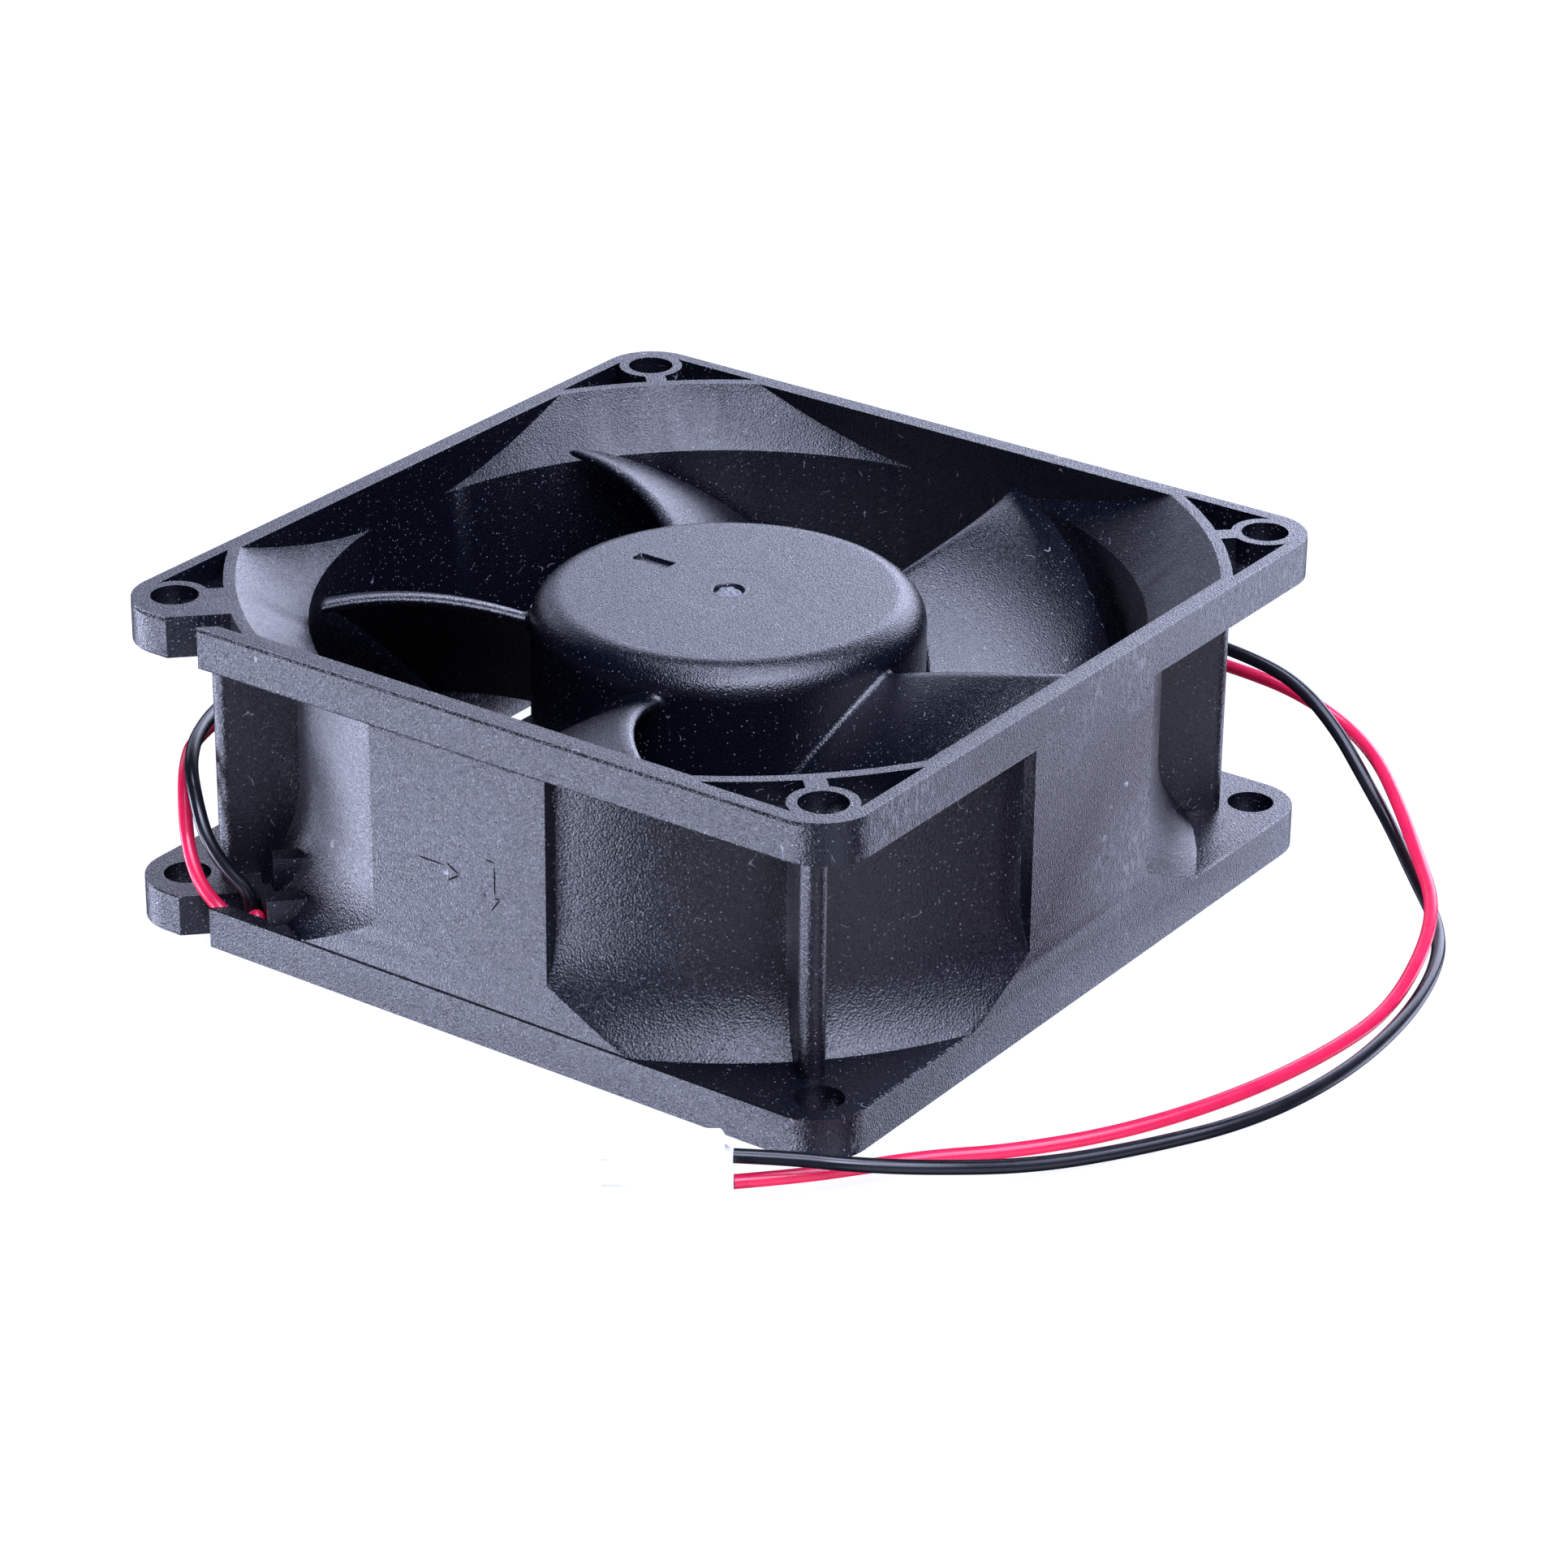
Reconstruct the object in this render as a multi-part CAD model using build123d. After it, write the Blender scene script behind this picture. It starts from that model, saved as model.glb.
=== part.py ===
from build123d import *
import math
import os

# Axial cooling fan. +Z is the air inlet side, the frame stands on its outlet flange at z = 0,
# and the shaft runs along Z through the origin. All sizes are in millimetres.

# Frame
frame_size = 80.0
frame_depth = 32.0
flange_thickness = 4.0
corner_radius = 5.0
hole_inset = 4.25
hole_radius = 2.2
rim_thickness = 1.9
duct_wall = 1.5
lip_share = 1.125
inlet_flare_height = 4.5
outlet_flare_height = 14.0
outlet_skin_radius = 14.5
panel_half_width = 9.7
rib_thickness = 2.4
rib_hole_gap = 3.06
pocket_depth = 2.3
pocket_rim = 1.3
pocket_web = 2.0
pocket_lip_wall = 1.1
hole_boss_wall = 0.95

# Cable slot and wire tabs in the corner towards -X and -Y
slot_offset = 4.9
slot_mouth = 2.6
slot_rim = 1.35
slot_lip_gap = 0.6
slot_depth = 6.0
tab_width = 2.0
tab_height = 2.7
wall_tab_offset = 7.8
wall_tab_z = 5.9
flange_tab_offset = 12.0
tab_stand_out = 3.0
flange_tab_stand_out = 4.0

# Motor base and struts on the outlet side
base_radius = 18.6
base_floor = 1.6
base_wall = 1.4
base_height = 7.0
strut_count = 4
strut_width = 2.6
strut_height = 4.6
strut_start_angle = 8.0
channel_angle = -125.3
channel_inner_width = 3.6
channel_wall = 0.9
channel_floor = 0.9
tube_boss_radius = 7.2
tube_boss_height = 3.2

# Impeller
hub_radius = 18.3
hub_top = 29.3
hub_skirt_bottom = 8.0
hub_roof = 2.0
hub_wall = 1.6
hub_edge_radius = 2.8
hub_dimple_radius = 1.45
hub_dimple_depth = 0.5
balance_slot_length = 4.0
balance_slot_width = 1.5
balance_slot_x = -9.6
balance_slot_y = 1.3
blade_count = 5
blade_tip_clearance = 1.2
blade_root_thickness = 1.7
blade_tip_thickness = 1.3
blade_bottom = 8.0

# Rotor inside the hub
yoke_thickness = 1.0
yoke_bottom = 9.2
magnet_thickness = 2.2
magnet_bottom = 10.6
magnet_height = 13.0
shaft_radius = 1.5
shaft_bottom = 2.3
boss_radius = 4.6
boss_bottom = 23.2
clip_radius = 2.6
clip_thickness = 0.4
clip_groove_depth = 0.35

# Bearings, both of one size
race_outer_radius = 4.0
race_width = 3.0
race_wall = 0.75
ball_radius = 0.6
ball_count = 6
ball_clearance = 0.03
cage_height = 1.0
cage_offset = -0.85
cage_wall = 0.7
lower_bearing_z = 4.2
upper_bearing_z = 18.6

# Stator
tube_wall = 1.3
tube_bottom = 1.7
tube_shoulder = 0.9
air_gap = 0.5
core_height = 7.0
core_bottom = 13.6
pole_count = 4
pole_stem_width = 3.4
pole_shoe_thickness = 1.5
pole_gap = 2.2
core_hub_radius = 7.0
insulator_thickness = 0.8
insulator_wall_height = 2.6
coil_build = 2.1
pin_radius = 0.3

# Circuit board on the base rim's ledge
board_radius = 15.6
board_thickness = 1.2
board_bottom = 7.0
board_bore_clearance = 0.3

# Leads
lead_radius = 0.65
lead_pitch = 2.5
lead_gap = 0.12
lead_lift = 0.05

# Plug at the end of the leads
plug_length = 13.6
plug_width = 3.8
plug_height = 6.0
plug_edge_radius = 0.5
plug_end_chamfer = 1.2
plug_heading = 35.26
plug_x = 35.9
plug_y = -48.4
terminal_bore_radius = 0.95
terminal_length = 8.0
terminal_radius = 0.75
window_length = 4.0
window_depth = 0.5
latch_length = 1.9
latch_rise = 1.4
latch_stand = 1.5
latch_inset = 0.6

# Routes of the two free leads round a frame of the route's size: out of the cable slot, round
# the waist of the frame, and along the table to the plug
route_size = 80.0
BLACK_ROUTE = [
    (-27.0, -36.8, 2.6), (-27.0, -36.8, 4.9), (-29.0, -37.8, 7.1), (-30.8, -38.4, 9.9),
    (-32.9, -37.3, 13.0), (-35.6, -34.9, 14.8), (-38.6, -30.6, 15.4), (-41.8, -23.4, 15.0),
    (-42.9, -12.5, 15.3), (-42.6, 1.5, 15.6), (-43.0, 16.5, 15.9), (-41.8, 29.5, 16.2),
    (-33.8, 39.4, 16.0), (-21.0, 42.7, 16.2), (-5.0, 42.4, 16.4), (10.5, 42.8, 16.1),
    (22.5, 42.6, 15.9), (30.6, 42.3, 15.7), (36.6, 42.2, 14.4), (41.6, 41.3, 11.2),
    (45.6, 39.9, 7.7), (49.5, 38.3, 4.6), (54.6, 34.0, 2.5), (60.4, 28.8, 0.9),
    (64.0, 21.6, 0.65), (66.4, 11.0, 0.65), (66.8, -0.6, 0.65), (64.6, -12.0, 0.65),
    (59.4, -22.0, 0.75), (54.4, -30.8, 1.4), (49.2, -39.1, 3.3), (44.3, -43.7, 4.1),
    (40.0, -45.9, 4.25), (35.9, -48.4, 4.25),
]
RED_ROUTE = [
    (-25.45, -37.85, 2.6), (-25.45, -37.85, 5.0), (-27.7, -39.3, 5.6), (-30.4, -39.6, 7.0),
    (-32.7, -38.7, 9.8), (-34.8, -36.7, 12.6), (-38.1, -33.0, 13.2), (-42.6, -26.4, 12.4),
    (-44.6, -14.5, 12.8), (-44.2, 2.5, 13.1), (-44.7, 18.0, 13.2), (-43.4, 31.8, 13.4),
    (-34.6, 41.4, 13.2), (-20.5, 44.6, 13.3), (-4.5, 44.2, 13.2), (9.5, 44.7, 13.3),
    (21.0, 44.5, 13.0), (29.4, 44.2, 13.0), (35.2, 44.4, 12.3), (40.4, 44.9, 10.2),
    (45.6, 42.1, 9.1), (50.5, 37.8, 7.3), (55.0, 33.4, 5.3), (60.2, 27.6, 4.1),
    (63.0, 20.8, 2.7), (64.6, 11.6, 1.0), (63.8, 2.4, 0.65), (61.4, -9.0, 0.65),
    (56.8, -20.2, 0.65), (51.0, -28.8, 0.75), (46.4, -34.8, 1.4), (43.1, -40.3, 1.8),
    (39.6, -44.6, 1.75), (35.9, -48.4, 1.75),
]

# Sizes that follow from the ones above
half = frame_size / 2
duct_radius = half - duct_wall
inlet_lip_radius = half * lip_share
outlet_lip_radius = half * lip_share
slot_lip_radius = outlet_lip_radius - slot_lip_gap
hole_pitch = frame_size - 2 * hole_inset
inner_flat = half - rim_thickness
top_flange_z = frame_depth - flange_thickness
hole_place = hole_pitch / 2
rib_reach = hole_place * math.sqrt(2) - rib_hole_gap
duct_outer = duct_radius + duct_wall
route_scale = frame_size / route_size
blade_tip_radius = duct_radius - blade_tip_clearance
hub_inner = hub_radius - hub_wall
hub_ceiling = hub_top - hub_roof
yoke_inner = hub_inner - yoke_thickness
magnet_inner = yoke_inner - magnet_thickness
core_radius = magnet_inner - air_gap
tube_radius = race_outer_radius + tube_wall
tube_top = upper_bearing_z + race_width + 0.4
race_mid_radius = (race_outer_radius + shaft_radius) / 2
core_top = core_bottom + core_height
far = 200.0


def turned(points):
    """Closed solid of revolution about Z from (radius, height) points."""
    return revolve(make_face(Plane.XZ * Polyline(*points, close=True)), Axis.Z)


def ring(outer, inner, bottom, height):
    """Plain ring about Z."""
    face = Circle(outer) - Circle(inner)
    return extrude(Plane.XY.offset(bottom) * face, height)


def disc(radius, bottom, height):
    """Plain disc about Z."""
    return extrude(Plane.XY.offset(bottom) * Circle(radius), height)


def block(x_span, y_span, z_span):
    """Box between two limits on each axis."""
    size = [high - low for low, high in (x_span, y_span, z_span)]
    centre = [(high + low) / 2 for low, high in (x_span, y_span, z_span)]
    return Pos(*centre) * Box(*size)


def save(node, shape):
    """Write one node and print its solids and volume."""
    shape.label = node
    export_step(shape, f"parts/{node}.step")
    print(node, len(shape.solids()), round(shape.volume, 2))


def outlet_flare_arc_radius():
    """Radius of the arc that is tangent to the duct wall and ends on the outlet lip."""
    rise = outlet_lip_radius - duct_radius
    return (rise * rise + outlet_flare_height ** 2) / (2 * rise)


def duct_skin():
    """Outside of the duct with its outlet flare, cut flush with the frame's four sides."""
    bottom = flange_thickness / 2
    drop = outlet_flare_height - bottom
    reach = outlet_skin_radius - math.sqrt(outlet_skin_radius ** 2 - drop ** 2)
    centre = (duct_outer + outlet_skin_radius, outlet_flare_height)
    turn = math.degrees(math.asin(drop / outlet_skin_radius))
    flare = Plane.XZ * CenterArc(centre, outlet_skin_radius, 180, turn)
    low = (duct_outer + reach, bottom)
    rest = Plane.XZ * Polyline(
        low, (0, bottom), (0, frame_depth - flange_thickness / 2),
        (duct_outer, frame_depth - flange_thickness / 2), (duct_outer, outlet_flare_height))
    skin = revolve(make_face([flare, rest]), Axis.Z)
    return skin & block((-half, half), (-half, half), (0, frame_depth))


def air_passage():
    """Inlet cone, straight throat and outlet flare, with the four flat walls beside the rim."""
    over = 1.0
    throat_top = frame_depth - inlet_flare_height
    slope = (inlet_lip_radius - duct_radius) / inlet_flare_height
    radius = outlet_flare_arc_radius()
    turn = math.degrees(math.asin(outlet_flare_height / radius))
    flare = Plane.XZ * CenterArc((duct_radius + radius, outlet_flare_height), radius, 180, turn)
    rest = Plane.XZ * Polyline(
        (outlet_lip_radius, 0), (outlet_lip_radius, -over), (0, -over), (0, frame_depth + over),
        (inlet_lip_radius + slope * over, frame_depth + over), (duct_radius, throat_top),
        (duct_radius, outlet_flare_height))
    passage = revolve(make_face([flare, rest]), Axis.Z)
    flats = (-inner_flat, inner_flat)
    return passage & block(flats, flats, (-over, frame_depth + over))


def corner_ribs():
    """Upright plate on each diagonal, from the duct to a rounded nose just inside the hole."""
    nose = rib_reach - rib_thickness / 2
    root = duct_radius + duct_wall / 2
    span = top_flange_z - flange_thickness
    plate = Pos((root + nose) / 2, 0) * Rectangle(nose - root, rib_thickness)
    face = plate + Pos(nose, 0) * Circle(rib_thickness / 2)
    rib = extrude(Plane.XY.offset(flange_thickness - 0.5) * face, span + 1.0)
    return [Rot(0, 0, 45 + 90 * k) * rib for k in range(4)]


def pocket(mirrored):
    """One weight-saving pocket beside the diagonal of the top flange's +X +Y corner."""
    wall = half - pocket_rim
    corner = corner_radius - pocket_rim
    outline = Pos(wall / 2, wall / 2) * Rectangle(wall, wall)
    outline = fillet(outline.vertices().sort_by(Axis.X)[-2:].sort_by(Axis.Y)[-1:], corner)
    lip = Circle(inlet_lip_radius + pocket_lip_wall)
    boss = Pos(hole_place, hole_place) * Circle(hole_radius + hole_boss_wall)
    web = Rot(0, 0, 45) * Pos(far / 4, 0) * Rectangle(far / 2, pocket_web)
    side = Rot(0, 0, 45) * Pos(far / 4, -far / 4) * Rectangle(far, far / 2)
    face = (outline - lip - boss - web) & side
    floor = Plane.XY.offset(frame_depth - pocket_depth)
    cut = extrude(floor * face, pocket_depth + 1.0)
    return mirror(cut, Plane(origin=(0, 0, 0), z_dir=(-1, 1, 0))) if mirrored else cut


def top_pockets():
    """Pockets of all corners, but for the one that the cable slot takes."""
    cuts = []
    for k in range(4):
        for mirrored in (False, True):
            if k == 2 and mirrored:
                continue
            cuts.append(Rot(0, 0, 90 * k) * pocket(mirrored))
    return cuts


def cable_slot():
    """45 degree slot through both flanges beside the ear towards -X -Y."""
    step = math.sqrt(2)
    rim = -half + slot_rim
    mouth = slot_offset * step
    low = mouth + slot_mouth * step
    over = -half - 5.0
    end = -math.sqrt(slot_lip_radius ** 2 - rim ** 2)
    points = [
        (over + mouth, over), (rim + mouth + slot_depth, rim + slot_depth),
        (end + slot_depth, rim + slot_depth), (end, rim),
        (rim + low, rim), (over + low, over)]
    face = make_face(Polyline(*points, close=True)) - Circle(slot_lip_radius)
    cut = extrude(Plane.XY.offset(-1.0) * face, flange_thickness + 1.0)
    top = extrude(Plane.XY.offset(top_flange_z) * face, flange_thickness + 1.0)
    inlet_wall = disc(inlet_lip_radius + pocket_lip_wall, top_flange_z, flange_thickness + 1.0)
    return [cut, top - inlet_wall]


def wire_tabs():
    """Two small blocks on the flare's outside that keep the leads in the slot's corner."""
    tabs = []
    places = ((wall_tab_offset, tab_stand_out, wall_tab_z),
              (flange_tab_offset, flange_tab_stand_out, flange_thickness - 0.2))
    for offset, stand_out, low in places:
        root = duct_outer - 1.0
        reach = duct_outer + stand_out
        tab = block((root, reach), (offset - tab_width, offset), (low, low + tab_height))
        tabs.append(Rot(0, 0, -135) * tab)
    return tabs


def strut(angle):
    """Stationary arm from the motor base to the outlet flare."""
    outer = outlet_lip_radius
    arm = block((base_radius - base_wall, outer), (-strut_width / 2, strut_width / 2),
                (0, strut_height))
    bevel = chamfer(arm.edges().filter_by(Axis.X).group_by(Axis.Z)[-1], strut_width * 0.3)
    return Rot(0, 0, angle) * bevel


def channel_strut():
    """Open trough that carries the leads from the motor base to the cable slot."""
    outer = outlet_lip_radius + 0.4
    width = channel_inner_width / 2 + channel_wall
    trough = block((base_radius - base_wall, outer), (-width, width), (0, strut_height))
    return Rot(0, 0, channel_angle) * trough


def channel_cut():
    """Inside of the trough, with its notch through the base wall and the flare lip."""
    side = channel_inner_width / 2
    cut = block((base_radius - base_wall - 1.0, slot_lip_radius + 1.0), (-side, side),
                (channel_floor, base_height + 1.0))
    cut -= ring(far / 2, duct_radius - 1.0, flange_thickness, base_height)
    return Rot(0, 0, channel_angle) * cut


def motor_base():
    """Round cup that carries the bearing tube and the circuit board."""
    cup = disc(base_radius, 0, base_height)
    cup -= disc(base_radius - base_wall, base_floor, base_height)
    cup += disc(tube_boss_radius, 0, base_floor + tube_boss_height)
    ledge = ring(base_radius - base_wall / 2, base_radius - base_wall - 2.4, 0, board_bottom)
    posts = block((-far / 2, far / 2), (-1.6, 1.6), (0, board_bottom))
    posts += block((-1.6, 1.6), (-far / 2, far / 2), (0, board_bottom))
    return cup + (ledge & posts)


def make_housing():
    """Moulded frame: two flanges, duct, side panels, ribs, pockets, slot, struts and base."""
    square = RectangleRounded(frame_size, frame_size, corner_radius)
    body = extrude(square, flange_thickness)
    body += extrude(Plane.XY.offset(top_flange_z) * square, flange_thickness)
    body += duct_skin()
    reach = (-half, half)
    panel = (-panel_half_width, panel_half_width)
    span = (flange_thickness / 2, top_flange_z + flange_thickness / 2)
    body += block(reach, panel, span)
    body += block(panel, reach, span)
    for rib in corner_ribs():
        body += rib
    for tab in wire_tabs():
        body += tab
    body -= air_passage()
    for cut in top_pockets():
        body -= cut
    for cut in cable_slot():
        body -= cut
    for x in (-hole_place, hole_place):
        for y in (-hole_place, hole_place):
            body -= Pos(x, y) * disc(hole_radius, -1.0, frame_depth + 2.0)
    inside = block((-half, half), (-half, half), (0, frame_depth))
    lip = disc(outlet_lip_radius, 0, frame_depth)
    arms = channel_strut()
    for k in range(strut_count):
        arms += strut(strut_start_angle + 360 / strut_count * k)
    body += arms & inside & lip
    body += motor_base()
    body -= channel_cut()
    body -= disc(tube_radius, tube_bottom, frame_depth)
    return body


def blade_share(radius):
    """Share of the way from the hub to the tip, held level past the tip circle."""
    return min((radius - hub_radius) / (blade_tip_radius - hub_radius), 1.08)


def blade_angle(radius):
    """Angle of the leading edge, swept forward towards the tip, in degrees."""
    t = blade_share(radius)
    return -1.4 + 2.1 * t + 6.2 * t * t


def blade_lead(radius):
    """Height of the leading edge above the outlet face."""
    t = blade_share(radius)
    return hub_top - 3.5 + 6.4 * t - 3.1 * t * t


def blade_height(radius, behind):
    """Height of the blade's middle surface, at an angle behind its leading edge."""
    t = blade_share(radius)
    slope = 0.136 + 0.036 * t
    bend = 0.0036 + 0.0025 * t
    return blade_lead(radius) - slope * behind - bend * behind * behind


def blade_span(radius):
    """Angle behind the leading edge at which the blade reaches its bottom height."""
    t = blade_share(radius)
    slope = 0.136 + 0.036 * t
    bend = 0.0036 + 0.0025 * t
    drop = blade_lead(radius) - blade_bottom
    return (-slope + math.sqrt(slope * slope + 4 * bend * drop)) / (2 * bend)


def blade_section(x, middle):
    """Closed section of one blade on the plane at distance x, facing the blade's mid angle."""
    thick = blade_root_thickness + (blade_tip_thickness - blade_root_thickness) * blade_share(x)
    steps = 7
    line = []
    for k in range(steps):
        share = k / (steps - 1)
        radius = x * 1.05
        for _ in range(12):
            behind = share * blade_span(radius)
            turn = math.radians(blade_angle(radius) - behind - middle)
            radius = x / math.cos(turn)
        line.append((x * math.tan(turn), blade_height(radius, behind)))
    upper = []
    lower = []
    for k, (y, z) in enumerate(line):
        before = line[max(k - 1, 0)]
        after = line[min(k + 1, steps - 1)]
        run = math.hypot(after[0] - before[0], after[1] - before[1])
        normal = (-(after[1] - before[1]) / run, (after[0] - before[0]) / run)
        share = k / (steps - 1)
        half_wall = thick / 2 * (0.82 + 0.6 * share - 1.05 * share ** 3)
        upper.append((y - normal[0] * half_wall, z - normal[1] * half_wall))
        lower.append((y + normal[0] * half_wall, z + normal[1] * half_wall))
    plane = Plane(origin=(x, 0, 0), x_dir=(0, 1, 0), z_dir=(1, 0, 0))
    outline = [Spline(*upper), Line(upper[-1], lower[-1]), Spline(*lower[::-1]),
               Line(lower[0], upper[0])]
    return plane * make_face(outline)


def make_blade():
    """One blade, lofted through plane sections and trimmed between the hub and the tip circle."""
    middle = blade_angle(hub_radius) - blade_span(hub_radius) / 2
    first = hub_inner * 0.80
    last = blade_tip_radius + 0.4
    count = 5
    sections = [blade_section(first + (last - first) * k / (count - 1), middle)
                for k in range(count)]
    sheet = loft(sections)
    keep = ring(blade_tip_radius, hub_radius - hub_wall / 2, 0, frame_depth)
    return Rot(0, 0, middle) * (sheet & keep)


def make_impeller():
    """Moulded hub cup with five cambered blades."""
    cup = disc(hub_radius, hub_skirt_bottom, hub_top - hub_skirt_bottom)
    cup = fillet(cup.edges().group_by(Axis.Z)[-1], hub_edge_radius)
    blade = make_blade()
    for k in range(blade_count):
        cup += Rot(0, 0, 360 / blade_count * k) * blade
    cup -= disc(hub_inner, hub_skirt_bottom - 1.0, hub_ceiling - hub_skirt_bottom + 1.0)
    cup -= disc(hub_dimple_radius, hub_top - hub_dimple_depth, 1.0)
    slot = SlotOverall(balance_slot_length, balance_slot_width)
    slot = Pos(balance_slot_x, balance_slot_y, hub_top - hub_dimple_depth) * slot
    return cup - extrude(slot, 1.0)


def make_yoke():
    """Deep drawn steel cup that closes the magnet's field, pressed into the hub."""
    cup = disc(hub_inner, yoke_bottom, hub_ceiling - yoke_bottom)
    cup -= disc(yoke_inner, yoke_bottom - 1.0, hub_ceiling - yoke_thickness - yoke_bottom + 1.0)
    return cup - disc(boss_radius, yoke_bottom, far / 2)


def make_shaft_boss():
    """Brass boss that joins the shaft to the hub and the yoke."""
    return ring(boss_radius, shaft_radius, boss_bottom, hub_ceiling - boss_bottom)


def make_shaft():
    """Steel shaft with the groove of the retaining clip."""
    rod = disc(shaft_radius, shaft_bottom, hub_ceiling - shaft_bottom)
    rod = chamfer(rod.edges().group_by(Axis.Z)[0], 0.2)
    low = lower_bearing_z - 0.05 - clip_thickness
    return rod - ring(shaft_radius + 1.0, shaft_radius - clip_groove_depth, low, clip_thickness)


def make_clip():
    """Split plastic washer in the shaft's groove, below the lower bearing."""
    low = lower_bearing_z - 0.05 - clip_thickness
    washer = ring(clip_radius, shaft_radius - clip_groove_depth, low, clip_thickness)
    slit = block((0, clip_radius + 1.0), (-0.4, 0.4), (low - 1.0, low + 2.0))
    return washer - slit


def make_spring_washer():
    """Dished washer that preloads the bearings, between the boss and the upper inner race."""
    low = upper_bearing_z + race_width
    height = boss_bottom - low
    inner = shaft_radius + 0.15
    outer = shaft_radius + race_wall + 0.6
    wall = height * 0.45
    return turned([(inner, low), (outer, low + height - wall), (outer, boss_bottom),
                   (inner, low + wall)])


def race(outer, inner, low):
    """Bearing ring with the groove of its balls."""
    plain = ring(outer, inner, low, race_width)
    groove = ball_radius + ball_clearance
    middle = low + race_width / 2
    path = Pos(0, 0, middle) * Torus(race_mid_radius, groove)
    return plain - path


def ball_set(low):
    """Balls of one bearing, as separate solids."""
    balls = []
    for k in range(ball_count):
        place = Pos(race_mid_radius, 0, low + race_width / 2)
        balls.append(Rot(0, 0, 360 / ball_count * k) * place * Sphere(ball_radius))
    return Compound(children=balls)


def ball_cage(low):
    """Crown ring that spaces the balls."""
    middle = low + race_width / 2
    band = ring(race_mid_radius + cage_wall / 2, race_mid_radius - cage_wall / 2,
                middle + cage_offset, cage_height)
    for k in range(ball_count):
        place = Pos(race_mid_radius, 0, middle)
        hole = Sphere(ball_radius + ball_clearance + 0.02)
        band -= Rot(0, 0, 360 / ball_count * k) * place * hole
    return band


def make_bearing_tube():
    """Brass tube with a shoulder between the two bearing seats."""
    tube = ring(tube_radius, race_outer_radius, tube_bottom, tube_top - tube_bottom)
    low = lower_bearing_z + race_width
    shoulder = ring(race_outer_radius + 0.2, race_outer_radius - tube_shoulder, low,
                    upper_bearing_z - low)
    return tube + shoulder


def pole_stack(bottom, height, stem, shoe, hub):
    """Hub ring with four T shaped poles, for the core and its insulators."""
    face = Circle(hub)
    stems = None
    for k in range(pole_count):
        arm = Rot(0, 0, 45 + 360 / pole_count * k) * Pos(core_radius / 2, 0)
        arm = arm * Rectangle(core_radius, stem)
        stems = arm if stems is None else stems + arm
    rim = Circle(core_radius) - Circle(core_radius - shoe)
    gaps = None
    for k in range(pole_count):
        gap = Rot(0, 0, 360 / pole_count * k) * Pos(core_radius, 0)
        gap = gap * Rectangle(core_radius, pole_gap)
        gaps = gap if gaps is None else gaps + gap
    face = (face + (stems & Circle(core_radius - shoe / 2)) + (rim - gaps)) - Circle(tube_radius)
    return extrude(Plane.XY.offset(bottom) * face, height)


def make_insulator(seat, up):
    """Moulded coil former on one end of the core, with a wall at the pole shoes."""
    way = 1 if up else -1
    low = seat if up else seat - insulator_thickness
    plate = pole_stack(low, insulator_thickness, pole_stem_width + 0.8, pole_shoe_thickness,
                       core_hub_radius)
    tall = insulator_wall_height
    wall_low = seat if up else seat - tall
    rim = ring(core_radius, core_radius - pole_shoe_thickness * 0.6, wall_low, tall)
    for k in range(pole_count):
        gap = block((0, far / 2), (-pole_gap / 2, pole_gap / 2), (wall_low - 1, wall_low + tall + 1))
        rim -= Rot(0, 0, 360 / pole_count * k) * gap
    hub = ring(core_hub_radius, tube_radius, min(seat, seat + way * tall), tall)
    return plate + rim + hub


def make_coils():
    """Copper windings round the four pole stems, as separate solids."""
    coils = []
    inner = core_hub_radius + 0.3
    outer = core_radius - pole_shoe_thickness - 0.3
    side = (pole_stem_width + 0.8) / 2 + 0.05
    low = core_bottom - insulator_thickness - 0.05
    high = core_top + insulator_thickness + 0.05
    room = outer * math.sin(math.radians(45)) - side - 0.6
    build = min(coil_build, room)
    for k in range(pole_count):
        outside = block((inner, outer), (-side - build, side + build), (low - 1.4, high + 1.4))
        bend = outside.edges().filter_by(Axis.X)
        outside = fillet(bend, min(1.0, build * 0.6))
        coil = outside - block((0, far), (-side, side), (low, high))
        coil = coil & disc(core_radius - pole_shoe_thickness - 0.15, 0, frame_depth)
        coils.append(Rot(0, 0, 45 + 360 / pole_count * k) * coil)
    return Compound(children=coils)


def make_board():
    """Round circuit board with a flat for the leads and a bore over the bearing tube."""
    board = ring(board_radius, tube_radius + board_bore_clearance, board_bottom, board_thickness)
    edge = Rot(0, 0, channel_angle) * block((board_radius - 1.4, far), (-4, 4), (0, far))
    return board - edge


def seated(x, y, size, angle=0.0):
    """Box on the top of the circuit board."""
    low = board_bottom + board_thickness
    place = Pos(x, y, low + size[2] / 2) * Rot(0, 0, angle)
    return place * Box(*size)


def make_pins():
    """Winding pins pressed through the lower insulator's hub into the board."""
    pins = []
    low = board_bottom + board_thickness
    high = core_bottom - insulator_wall_height
    for k in range(3):
        place = Rot(0, 0, 60 + 90 * k) * Pos(core_hub_radius - 0.9, 0, low)
        pins.append(place * extrude(Circle(pin_radius), high - low))
    return Compound(children=pins)


def tube_along(points, radii, radius):
    """Round tube along straight runs joined by tangent arcs."""
    path = FilletPolyline(*points, radius=radii)
    start = path.location_at(0)
    section = Plane(start.position, z_dir=path.tangent_at(0)) * Circle(radius)
    return sweep(section, path=path, transition=Transition.ROUND), path.length


def fitted(route):
    """Route laid round this frame: its plan grows and shrinks with the frame's size."""
    return [(x * route_scale, y * route_scale, z) for x, y, z in route]


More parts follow.
